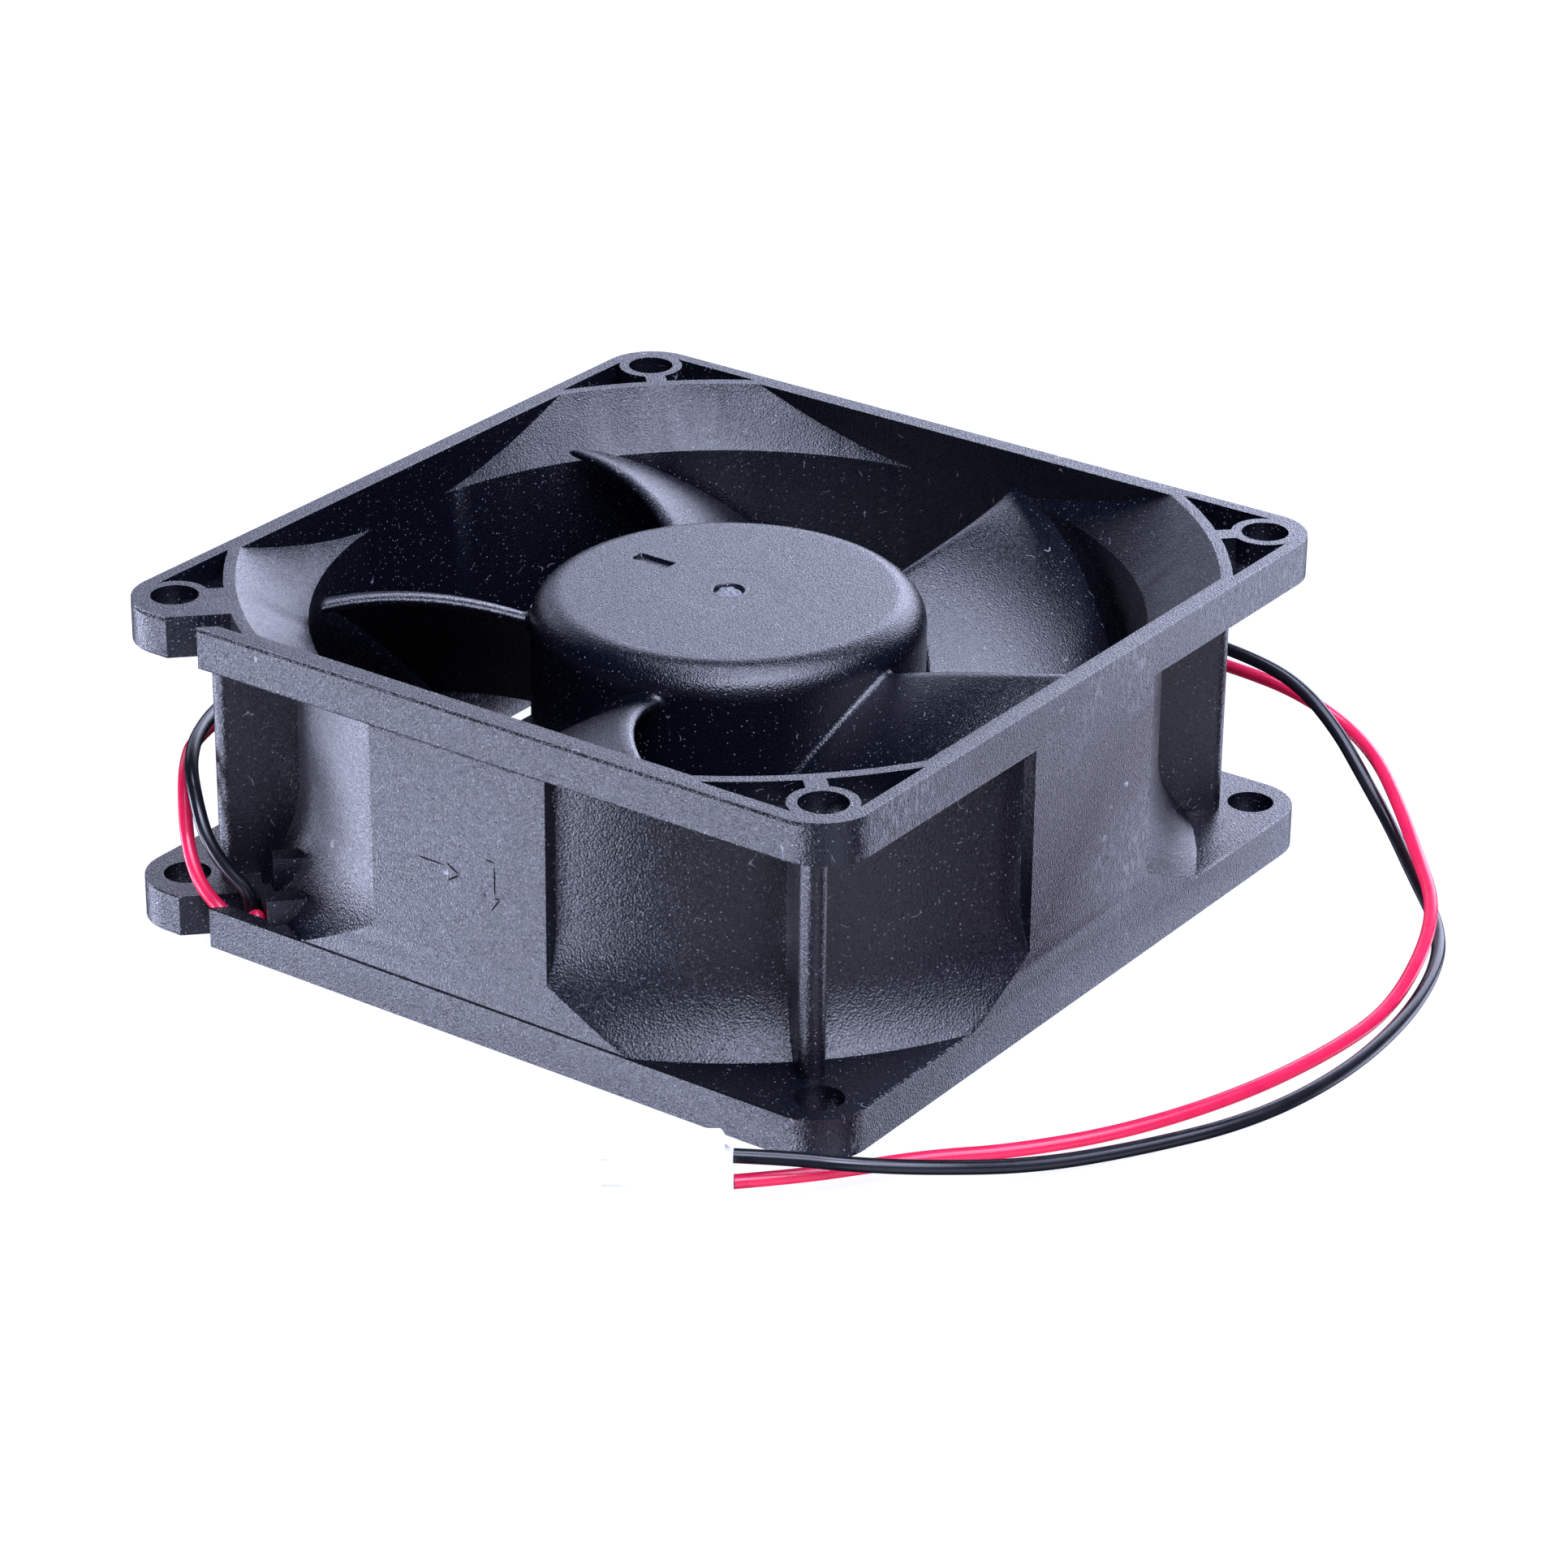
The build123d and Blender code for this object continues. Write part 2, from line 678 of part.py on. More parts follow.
def free_lead(name, points):
    """Free lead with the largest arcs that its runs allow."""
    knots = [Vector(*point) for point in points]
    radii = []
    for before, knot, after in zip(knots, knots[1:], knots[2:]):
        turn = (knot - before).get_angle(after - knot)
        run = min((knot - before).length, (after - knot).length)
        radii.append(0.45 * run / math.tan(math.radians(turn) / 2))
    solid, length = tube_along(points, radii, lead_radius)
    section = math.pi * lead_radius ** 2
    print(name, "length", round(length, 1), "tightest arc", round(min(radii), 2),
          "volume ratio", round(solid.volume / (section * length), 4))
    return solid


def held_lead(side, exit_point):
    """Lead stretch that lies in the trough, from the board to the cable slot."""
    turn = math.radians(channel_angle)
    along = Vector(math.cos(turn), math.sin(turn), 0)
    across = Vector(-math.sin(turn), math.cos(turn), 0) * side * (lead_radius + lead_gap)
    low = channel_floor + lead_radius + lead_lift
    start = board_bottom - lead_lift
    inner = board_radius - 2.6
    goal = Vector(*exit_point)
    foot = Vector(goal.X, goal.Y, low)
    reach = foot.dot(along)
    knots = [along * inner + across + Vector(0, 0, start),
             along * inner + across + Vector(0, 0, low + 1.9),
             along * (inner + 5.6) + across + Vector(0, 0, low),
             along * (reach - 6.5) + across + Vector(0, 0, low),
             foot, goal]
    radii = []
    for before, knot, after in zip(knots, knots[1:], knots[2:]):
        bend = (knot - before).get_angle(after - knot)
        run = min((knot - before).length, (after - knot).length)
        radii.append(0.45 * run / math.tan(math.radians(bend) / 2))
    solid, _ = tube_along([tuple(knot) for knot in knots], radii, lead_radius)
    return solid


def plug_frame():
    """Frame at the middle of the plug's wire end, X pointing out along the leads."""
    turn = math.radians(plug_heading)
    return Plane(origin=(plug_x * route_scale, plug_y * route_scale, plug_height / 2),
                 x_dir=(math.cos(turn), math.sin(turn), 0), z_dir=(0, 0, 1))


def make_plug():
    """Two way moulded plug lying on its side, with its two terminal bores and windows."""
    high = plug_height / 2
    side_face = Plane.XZ * Polyline(
        (-plug_length, -high), (0, -high), (0, high - plug_end_chamfer * 1.7),
        (-plug_end_chamfer, high), (-plug_length, high), close=True)
    body = extrude(make_face(side_face), plug_width / 2, both=True)
    body = fillet(body.edges().filter_by(Axis.X), plug_edge_radius)
    for side in (-1, 1):
        z = side * lead_pitch / 2
        bore = Rot(0, 90, 0) * Cylinder(terminal_bore_radius, plug_length + 2)
        body -= Pos(-plug_length / 2, 0, z) * bore
        window = Box(window_length, window_depth * 2, 1.4)
        body -= Pos(-plug_length + 4.6, -plug_width / 2, z) * window
    start = latch_inset - plug_length
    latch = block((start, start + latch_length),
                  (-plug_width / 2 - latch_stand, -plug_width / 2 + latch_inset / 2),
                  (-high, latch_rise - high))
    body += latch
    return plug_frame() * body


def make_terminals():
    """Crimp terminals in the plug's bores, on the ends of the leads."""
    pins = []
    for side in (-1, 1):
        barrel = Rot(0, 90, 0) * Cylinder(terminal_radius, terminal_length)
        barrel = Pos(-plug_length / 2 - 1.5, 0, side * lead_pitch / 2) * barrel
        pins.append(plug_frame() * barrel)
    return Compound(children=pins)


os.makedirs("parts", exist_ok=True)

save("housing", make_housing())
save("impeller", make_impeller())
save("rotor_yoke", make_yoke())
save("ring_magnet", ring(yoke_inner, magnet_inner, magnet_bottom, magnet_height))
save("shaft", make_shaft())
save("shaft_boss", make_shaft_boss())
save("retaining_clip", make_clip())
save("spring_washer", make_spring_washer())
save("bearing_tube", make_bearing_tube())
for place, low in (("lower", lower_bearing_z), ("upper", upper_bearing_z)):
    save(f"{place}_outer_race", race(race_outer_radius, race_outer_radius - race_wall, low))
    save(f"{place}_inner_race", race(shaft_radius + race_wall, shaft_radius, low))
    save(f"{place}_balls", ball_set(low))
    save(f"{place}_ball_cage", ball_cage(low))
save("stator_core", pole_stack(core_bottom, core_height, pole_stem_width, pole_shoe_thickness,
                               core_hub_radius))
save("upper_insulator", make_insulator(core_top, True))
save("lower_insulator", make_insulator(core_bottom, False))
save("stator_coils", make_coils())
save("winding_pins", make_pins())
save("circuit_board", make_board())
save("hall_sensor", seated(magnet_inner + 0.6, 0, (1.6, 3.0, 1.1)))
save("drive_chip", seated(5.4 - board_radius, 3.2, (4.0, 5.0, 1.5), 20))
save("capacitor", seated(2.5, board_radius - 4.4, (3.2, 2.4, 1.6)))
save("resistors", Compound(children=[seated(5.5 + 2.2 * k, 6.0 - board_radius, (1.2, 2.0, 0.6))
                                     for k in range(3)]))
for colour, side, route in (("black", -1, BLACK_ROUTE), ("red", 1, RED_ROUTE)):
    path = fitted(route)
    save(f"{colour}_lead_held", held_lead(side, path[0]))
    save(f"{colour}_lead", free_lead(f"{colour}_lead", path))
save("plug_housing", make_plug())
save("crimp_terminals", make_terminals())
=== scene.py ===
"""Finish of an 80 x 80 x 32 mm axial cooling fan with a two way plug on its leads."""

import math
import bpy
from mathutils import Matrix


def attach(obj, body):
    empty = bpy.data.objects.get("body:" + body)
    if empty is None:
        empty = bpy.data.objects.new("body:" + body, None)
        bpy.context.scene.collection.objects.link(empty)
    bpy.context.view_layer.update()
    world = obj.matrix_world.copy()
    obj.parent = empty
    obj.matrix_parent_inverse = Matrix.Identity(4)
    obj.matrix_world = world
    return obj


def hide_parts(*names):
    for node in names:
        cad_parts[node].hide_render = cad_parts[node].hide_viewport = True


bl_info = {
    "name": "Cooling fan finish",
    "version": (1, 0, 0),
    "blender": (4, 5, 0),
    "location": "View3D > Sidebar > Fan",
    "description": "Moulded housing, impeller, motor, leads and plug of a small axial fan",
    "category": "Object",
}

import bmesh
import bpy
import numpy as np
from mathutils import Matrix, Vector

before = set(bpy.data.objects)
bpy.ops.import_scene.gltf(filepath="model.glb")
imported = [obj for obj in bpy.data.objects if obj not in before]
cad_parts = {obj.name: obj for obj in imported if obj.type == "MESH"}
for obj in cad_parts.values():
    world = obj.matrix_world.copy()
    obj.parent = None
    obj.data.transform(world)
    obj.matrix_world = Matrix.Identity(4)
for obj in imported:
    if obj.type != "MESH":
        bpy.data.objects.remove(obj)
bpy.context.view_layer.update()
MM = 0.001

# Sizes of the moulded frame, in mm: half its side, and the heights of its mould's seams and flash
HALF_SIDE = 40.0
SEAM_LOW = 4.0
SEAM_HIGH = 28.0
FLASH = 31.72

# Sizes of the moulded impeller, in mm
HUB_RADIUS = 18.3
HUB_TOP = 29.3
HUB_BOTTOM = 8.0
HUB_INNER = 16.7
HUB_CEILING = 27.3
DIMPLE_RADIUS = 1.42
DIMPLE_DEPTH = 0.4
SINK_RADIUS = 4.7
SLOT_MIDDLE = (-9.6, 1.3)
SLOT_REACH = (1.85, 0.6)
SLOT_DEPTH = 0.3
TIP_RADIUS = 37.3
TIP_ROUND = 0.45
NOSE_LENGTH = 1.7
BLADES = 5

# The photograph's view: heading from +X, height and roll in degrees, lens in mm, and in mm the
# distance, the height of the frame's middle and the shift to the right of it and down
VIEW_HEADING = -54.74
VIEW_HEIGHT = 25.83
VIEW_ROLL = 0.58
VIEW_LENS = 116.53
VIEW_DISTANCE = 472.0
VIEW_MIDDLE = 16.0
VIEW_RIGHT = 5.2
VIEW_DOWN = 5.87

# Colour of every lamp: a cool white
LAMP_COLOUR = (0.86, 0.91, 1.23)

# Raised edges of the two direction arrows, each from one point to another, in mm along X and Z
ARROW_RUNS = [
    ((-4.73, 16.78), (-1.39, 16.74)), ((-1.38, 17.12), (0.2, 16.25)), ((0.2, 16.25), (-1.2, 15.33)),
    ((3.17, 18.68), (4.08, 18.58)), ((4.08, 18.58), (4.1, 15.13)), ((4.1, 15.13), (4.62, 15.19)),
    ((4.62, 15.19), (3.64, 13.75)), ((2.87, 15.26), (3.1, 15.09)),
]

# Centre points of the two leads, in mm, from the cable slot to the plug
BLACK_ROUTE = [
    (-27, -36.8, 2.6), (-27, -36.8, 4.9), (-29, -37.8, 7.1), (-30.8, -38.4, 9.9), (-32.9, -37.3, 13),
    (-35.6, -34.9, 14.8), (-38.6, -30.6, 15.4), (-41.8, -23.4, 15), (-42.9, -12.5, 15.3),
    (-42.6, 1.5, 15.6), (-43, 16.5, 15.9), (-41.8, 29.5, 16.2), (-33.8, 39.4, 16), (-21, 42.7, 16.2),
    (-5, 42.4, 16.4), (10.5, 42.8, 16.1), (22.5, 42.6, 15.9), (30.6, 42.3, 15.7), (36.6, 42.2, 14.4),
    (41.6, 41.3, 11.2), (45.6, 39.9, 7.7), (49.5, 38.3, 4.6), (54.6, 34, 2.5), (60.4, 28.8, .9),
    (64, 21.6, .65), (66.4, 11, .65), (66.8, -.6, .65), (64.6, -12, .65), (59.4, -22, .75),
    (54.4, -30.8, 1.4), (49.2, -39.1, 3.3), (44.3, -43.7, 4.1), (40, -45.9, 4.25), (35.9, -48.4, 4.25),
]
RED_ROUTE = [
    (-25.45, -37.85, 2.6), (-25.35, -37.6, 3.7), (-26.4, -38.1, 2.7), (-28.2, -38.15, 2.45),
    (-29.8, -38.3, 3.3), (-31.2, -38.9, 5.2), (-32.6, -38.6, 7.4), (-34.2, -37.4, 9.9),
    (-38.1, -33, 13.2), (-42.6, -26.4, 12.4),
    (-44.6, -14.5, 12.8), (-44.2, 2.5, 13.1), (-44.7, 18, 13.2), (-43.4, 31.8, 13.4),
    (-34.6, 41.4, 13.2), (-20.5, 44.6, 13.3), (-4.5, 44.2, 13.2), (9.5, 44.7, 13.3), (21, 44.5, 13),
    (29.4, 44.2, 13), (35.2, 44.4, 12.3), (40.4, 44.9, 10.2), (45.6, 42.1, 9.1), (50.5, 37.8, 7.3),
    (55, 33.4, 5.3), (60.2, 27.6, 4.1), (63, 20.8, 2.7), (64.6, 11.6, 1), (63.8, 2.4, .65),
    (61.4, -9, .65), (56.8, -20.2, .65), (51, -28.8, .75), (46.4, -34.8, 1.4), (43.1, -40.3, 1.8),
    (39.6, -44.6, 1.75), (35.9, -48.4, 1.75),
]


def linear(code):
    """Linear colour of an sRGB hex code: each channel through the sRGB curve."""
    parts = [int(code[k:k + 2], 16) / 255 for k in (1, 3, 5)]
    return [c / 12.92 if c <= 0.04045 else ((c + 0.055) / 1.055) ** 2.4 for c in parts]


def per_mm(size):
    """Texture scale that makes one feature of a pattern size mm wide."""
    return 1 / (size * MM)


def add(tree, kind, inputs=None, **settings):
    """Adds a shader node, sets its properties, and fills or links its sockets."""
    node = tree.nodes.new("ShaderNode" + kind)
    for key, value in settings.items():
        setattr(node, key, value)
    for key, value in (inputs or {}).items():
        if isinstance(value, bpy.types.NodeSocket):
            tree.links.new(value, node.inputs[key])
        else:
            node.inputs[key].default_value = value
    return node


def new_material(name, **surface):
    """Material with one Principled surface; surface gives the values set on its own sockets."""
    material = bpy.data.materials.new(name)
    material.use_nodes = True
    shader = material.node_tree.nodes["Principled BSDF"]
    for key, value in surface.items():
        shader.inputs[key.replace("_", " ")].default_value = value
    return material, material.node_tree, shader


def band(tree, value, middle, reach):
    """1 where value is at middle, falling evenly to 0 at reach on either side."""
    off = add(tree, "Math", {0: value, 1: middle}, operation="SUBTRACT").outputs[0]
    away = add(tree, "Math", {0: off}, operation="ABSOLUTE").outputs[0]
    fall = add(tree, "MapRange", {"Value": away, "From Min": reach, "From Max": 0.0})
    return fall.outputs["Result"]


def merged(tree, operation, *masks):
    """Several masks as one: where all of them meet (MULTIPLY), or the highest of them (MAXIMUM)."""
    value = masks[0]
    for mask in masks[1:]:
        value = add(tree, "Math", {0: value, 1: mask}, operation=operation).outputs[0]
    return value


def shaded(tree, pattern, base, spread):
    """Base colour, darker and lighter by a share spread as a pattern goes from 0 to 1."""
    dark = (*[c * (1 - spread) for c in base], 1)
    light = (*[min(c * (1 + spread), 1) for c in base], 1)
    return add(tree, "Mix", {"Factor": pattern, "A": dark, "B": light}, data_type="RGBA").outputs["Result"]


def finish(tree, shader, skin, marks, height, gloss, strength, relief):
    """Links a surface's colour, its roughness, which spans gloss as marks go from 0 to 1, and its
    bump, which is relief mm deep."""
    tree.links.new(skin, shader.inputs["Base Color"])
    rough = add(tree, "MapRange", {"Value": marks, "To Min": gloss[0], "To Max": gloss[1]})
    tree.links.new(rough.outputs["Result"], shader.inputs["Roughness"])
    bump = add(tree, "Bump", {"Height": height, "Strength": strength, "Distance": relief * MM})
    tree.links.new(bump.outputs["Normal"], shader.inputs["Normal"])


def mould_lines(tree, place, fine):
    """Lines where the mould's halves and slides meet, on the frame's sides towards -Y and +Y.

    Each is a narrow band of height, the upper one fainter. A flash line runs along the top edge
    towards -Y, torn by the fine noise."""
    axes = add(tree, "SeparateXYZ", {"Vector": place}).outputs
    away = add(tree, "Math", {0: axes["Y"]}, operation="ABSOLUTE").outputs[0]
    outer = add(tree, "Math", {0: away, 1: (HALF_SIDE - 0.2) * MM}, operation="GREATER_THAN").outputs[0]
    low = band(tree, axes["Z"], SEAM_LOW * MM, 0.13 * MM)
    high = merged(tree, "MULTIPLY", band(tree, axes["Z"], SEAM_HIGH * MM, 0.11 * MM), 0.35)
    seam = merged(tree, "MULTIPLY", merged(tree, "MAXIMUM", low, high), outer)
    front = add(tree, "Math", {0: axes["Y"], 1: (0.4 - HALF_SIDE) * MM}, operation="LESS_THAN").outputs[0]
    torn = add(tree, "MapRange", {"Value": fine, "From Min": 0.38, "From Max": 0.52}).outputs["Result"]
    flash = merged(tree, "MULTIPLY", band(tree, axes["Z"], FLASH * MM, 0.16 * MM), front, torn)
    return merged(tree, "MAXIMUM", seam, flash)


def rubbed(tree, place):
    """Scuffs on the side towards +X, and the mould's seams, which are pale there.

    The scuffs lie in patches of a broad noise. Both are broken into short upright strokes."""
    axes = add(tree, "SeparateXYZ", {"Vector": place}).outputs
    outer = add(tree, "Math", {0: axes["X"], 1: (HALF_SIDE - 0.3) * MM}, operation="GREATER_THAN")
    seams = [band(tree, axes["Z"], height * MM, 0.1 * MM) for height in (SEAM_LOW, SEAM_HIGH)]
    broad = add(tree, "TexNoise", {"Vector": place, "Scale": per_mm(11.0), "Detail": 2.0}).outputs["Fac"]
    patches = add(tree, "MapRange", {"Value": broad, "From Min": 0.52, "From Max": 0.68, "To Max": 0.6})
    drawn = add(tree, "Mapping", {"Vector": place, "Scale": (1.0, 1.0, 0.3)}).outputs["Vector"]
    fine = add(tree, "TexNoise", {"Vector": drawn, "Scale": per_mm(0.4), "Detail": 4.0}).outputs["Fac"]
    strokes = add(tree, "MapRange", {"Value": fine, "From Min": 0.48, "From Max": 0.66})
    worn = merged(tree, "MAXIMUM", patches.outputs["Result"], *seams)
    return merged(tree, "MULTIPLY", worn, strokes.outputs["Result"], outer.outputs[0])


def moulded_plastic(name, base, grain, rough, relief, lines=False):
    """Glass-filled polyester, injection moulded: a dull grained skin with pale fibre ends in it.

    Specks are the middles of some Voronoi cells; lint is short bits of a noise's middle contour.
    Both are coarser than the real ones, so that they show in the render."""
    material, tree, shader = new_material(name, IOR=1.6)
    place = add(tree, "TexCoord").outputs["Object"]
    cloud, fine, curl, patch = [
        add(tree, "TexNoise", {"Vector": place, "Scale": per_mm(size), "Detail": detail}).outputs["Fac"]
        for size, detail in ((7.0, 3.0), (grain, 2.0), (2.2, 0.0), (1.3, 0.0))]
    cells = add(tree, "TexVoronoi", {"Vector": place, "Scale": per_mm(0.38)}).outputs
    brightest = 0.6
    dot = add(tree, "MapRange", {"Value": cells["Distance"], "From Min": 0.21, "From Max": 0.14})
    chosen = add(tree, "MapRange", {"Value": cells["Color"], "From Min": 0.5, "From Max": 0.85,
                                    "To Max": brightest})
    speck = merged(tree, "MULTIPLY", dot.outputs["Result"], chosen.outputs["Result"])
    short = add(tree, "MapRange", {"Value": patch, "From Min": 0.71, "From Max": 0.75,
                                   "To Max": brightest})
    lint = merged(tree, "MULTIPLY", band(tree, curl, 0.5, 0.009), short.outputs["Result"])
    grainy = add(tree, "MapRange", {"Value": fine, "From Min": 0.3, "From Max": 0.7}).outputs["Result"]
    height = fine
    layers = [(grainy, [c * 1.7 for c in base]),
              (merged(tree, "MAXIMUM", speck, lint), linear("#AAABB3"))]
    if lines:
        seams = mould_lines(tree, place, fine)
        layers += [(seams, [c * 0.25 for c in base]), (rubbed(tree, place), linear("#6F7177"))]
        height = add(tree, "Math", {0: fine, 1: seams}, operation="SUBTRACT").outputs[0]
    skin = shaded(tree, cloud, base, 0.15)
    for mask, colour in layers:
        skin = add(tree, "Mix", {"Factor": mask, "A": skin, "B": (*colour, 1)},
                   data_type="RGBA").outputs["Result"]
    finish(tree, shader, skin, fine, height, (rough - 0.1, rough + 0.1), 1.0, relief)
    return material


def extruded_pvc(name, base):
    """Soft PVC, extruded over wire: glossy, with a faint waviness."""
    material, tree, shader = new_material(name, IOR=1.53)
    place = add(tree, "TexCoord").outputs["Object"]
    wave = add(tree, "TexNoise", {"Vector": place, "Scale": per_mm(2.5), "Detail": 2.0}).outputs["Fac"]
    finish(tree, shader, shaded(tree, wave, base, 0.15), wave, wave, (0.2, 0.38), 0.3, 0.03)
    return material


def worked_surface(name, base, feature, rough, metallic=0.0, relief=0.01, stretch=(1, 1, 1), tone=0.18):
    """Part finish with tool marks or grain: noise of feature mm, drawn out by stretch.

    Relief is the marks' depth in mm, and tone the share by which they darken and lighten it."""
    material, tree, shader = new_material(name, Metallic=metallic)
    place = add(tree, "TexCoord").outputs["Object"]
    drawn = add(tree, "Mapping", {"Vector": place, "Scale": stretch}).outputs["Vector"]
    marks = add(tree, "TexNoise", {"Vector": drawn, "Scale": per_mm(feature), "Detail": 4.0}).outputs["Fac"]
    skin = shaded(tree, marks, base, tone)
    finish(tree, shader, skin, marks, marks, (rough - 0.1, rough + 0.1), 0.4, relief)
    return material


def dress(node, material):
    """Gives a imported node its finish."""
    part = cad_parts[node]
    part.data.materials.clear()
    part.data.materials.append(material)


def grid_faces(rows, columns, close):
    """Quads of a grid numbered row by row; close joins the last column to the first."""
    index = np.arange(rows * columns).reshape(rows, columns)
    after = np.roll(index, -1, axis=1)
    if not close:
        index, after = index[:, :-1], after[:, :-1]
    quads = np.stack([index[:-1], after[:-1], after[1:], index[1:]], axis=-1)
    return quads.reshape(-1, 4)


def joined(grids, close):
    """Points and quads of several grids as one set."""
    points, faces, count = [], [], 0
    for grid in grids:
        rows, columns = grid.shape[:2]
        points.append(grid.reshape(-1, 3))
        faces.append(grid_faces(rows, columns, close) + count)
        count += rows * columns
    return np.concatenate(points), np.concatenate(faces)


def linked(name, data):
    """New object of the scene, at the origin, that holds a mesh, a curve, a lamp or a camera."""
    item = bpy.data.objects.new(name, data)
    bpy.context.scene.collection.objects.link(item)
    return item


def piece_from(name, points, faces, material, body, sharp=50.0):
    """Object from points in mm and faces, with doubles merged and faces turned outwards.

    Edges over sharp degrees stay crisp."""
    mesh = bpy.data.meshes.new(name)
    mesh.from_pydata((points * MM).tolist(), [], faces.tolist())
    work = bmesh.new()
    work.from_mesh(mesh)
    bmesh.ops.remove_doubles(work, verts=work.verts, dist=1e-7)
    bmesh.ops.dissolve_degenerate(work, dist=1e-8, edges=work.edges)
    bmesh.ops.recalc_face_normals(work, faces=work.faces)
    work.to_mesh(mesh)
    work.free()
    mesh.shade_smooth()
    mesh.set_sharp_from_angle(angle=math.radians(sharp))
    mesh.materials.append(material)
    piece = linked(name, mesh)
    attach(piece, body)
    return piece


def softened_copy(node, name, width, material, body):
    """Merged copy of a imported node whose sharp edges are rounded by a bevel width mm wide."""
    sharp = math.radians(30)
    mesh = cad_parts[node].data.copy()
    mesh.name = name
    work = bmesh.new()
    work.from_mesh(mesh)
    bmesh.ops.remove_doubles(work, verts=work.verts, dist=2e-6)
    bmesh.ops.dissolve_limit(work, angle_limit=math.radians(0.4), verts=work.verts, edges=work.edges)
    work.to_mesh(mesh)
    work.free()
    mesh.materials.clear()
    mesh.materials.append(material)
    mesh.shade_smooth()
    mesh.set_sharp_from_angle(angle=sharp)
    piece = linked(name, mesh)
    edge = piece.modifiers.new("Rounded edges", "BEVEL")
    edge.width = width * MM
    edge.segments = 2
    edge.limit_method = "ANGLE"
    edge.angle_limit = sharp
    edge.harden_normals = True
    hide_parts(node)
    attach(piece, body)
    return piece


def arc(centre, radius, start, end, steps):
    """Points (radius from the axis, height) along an arc, angles in degrees."""
    angle = np.radians(np.linspace(start, end, steps))
    return np.stack([centre[0] + radius * np.cos(angle), centre[1] + radius * np.sin(angle)], axis=-1)


def line(start, end, steps):
    """Evenly spaced points of a straight run."""
    share = np.linspace(0, 1, steps)[:, None]
    return np.asarray(start) * (1 - share) + np.asarray(end) * share


def sunken_disc(start, end):
    """Run along the hub's top whose inner part, out to SINK_RADIUS, has sunk by 0.03 mm in cooling.

    Sink = 0.015 x (1 - tanh((radius - SINK_RADIUS) / 0.5))."""
    radius = np.linspace(start, end, 48)
    return np.stack([radius, HUB_TOP - 0.015 * (1 - np.tanh((radius - SINK_RADIUS) / 0.5))], axis=-1)


def hub_profile(sizes):
    """Closed wall of the hub from the middle of its top, over the edge and up inside it.

    Its points lie close together from 7.3 to 12 mm out, where the balance slot is pressed in."""
    edge, corner, rim, foot = sizes.hub_edge / MM, 0.12, 0.15, 0.25
    floor = HUB_TOP - DIMPLE_DEPTH
    return np.concatenate([
        line((0.0, floor), (DIMPLE_RADIUS - corner, floor), 5),
        arc((DIMPLE_RADIUS - corner, floor + corner), corner, -90, 0, 4)[1:],
        arc((DIMPLE_RADIUS + rim, HUB_TOP - rim), rim, 180, 90, 5),
        sunken_disc(DIMPLE_RADIUS + 0.33, 7.2),
        line((7.3, HUB_TOP), (12.0, HUB_TOP), 60),
        line((12.3, HUB_TOP), (HUB_RADIUS - edge, HUB_TOP), 6),
        arc((HUB_RADIUS - edge, HUB_TOP - edge), edge, 90, 0, 24)[1:],
        line((HUB_RADIUS, HUB_TOP - edge - 0.5), (HUB_RADIUS, HUB_BOTTOM + foot), 16),
        arc((HUB_RADIUS - foot, HUB_BOTTOM + foot), foot, 0, -90, 5)[1:],
        arc((HUB_INNER + foot, HUB_BOTTOM + foot), foot, -90, -180, 5),
        line((HUB_INNER, HUB_BOTTOM + 2 * foot), (HUB_INNER, HUB_CEILING), 8),
        line((HUB_INNER - 0.3, HUB_CEILING), (0.0, HUB_CEILING), 8),
    ])


def hub_points(sizes):
    """Hub: the profile turned about the axis, with the balance slot pressed into its top.

    Press = SLOT_DEPTH x a share that falls evenly from 1 to 0 between 0.05 and 0.15 mm outside a
    rectangle in plan. Columns are closer together on the slot's side."""
    profile = hub_profile(sizes)
    turn = np.radians(np.concatenate([np.arange(-150, 150, 2.5), np.arange(150, 210, 0.5)]))
    radius, height = profile[:, :1], profile[:, 1:]
    x, y = radius * np.cos(turn), radius * np.sin(turn)
    side_x = np.abs(x - SLOT_MIDDLE[0]) - SLOT_REACH[0]
    side_y = np.abs(y - SLOT_MIDDLE[1]) - SLOT_REACH[1]
    outside = np.hypot(np.maximum(side_x, 0), np.maximum(side_y, 0))
    far = outside + np.minimum(np.maximum(side_x, side_y), 0)
    press = np.clip((0.15 - far) / 0.1, 0, 1)
    top = height > HUB_TOP - 0.035
    return np.stack([x, y, height - SLOT_DEPTH * press * top], axis=-1)


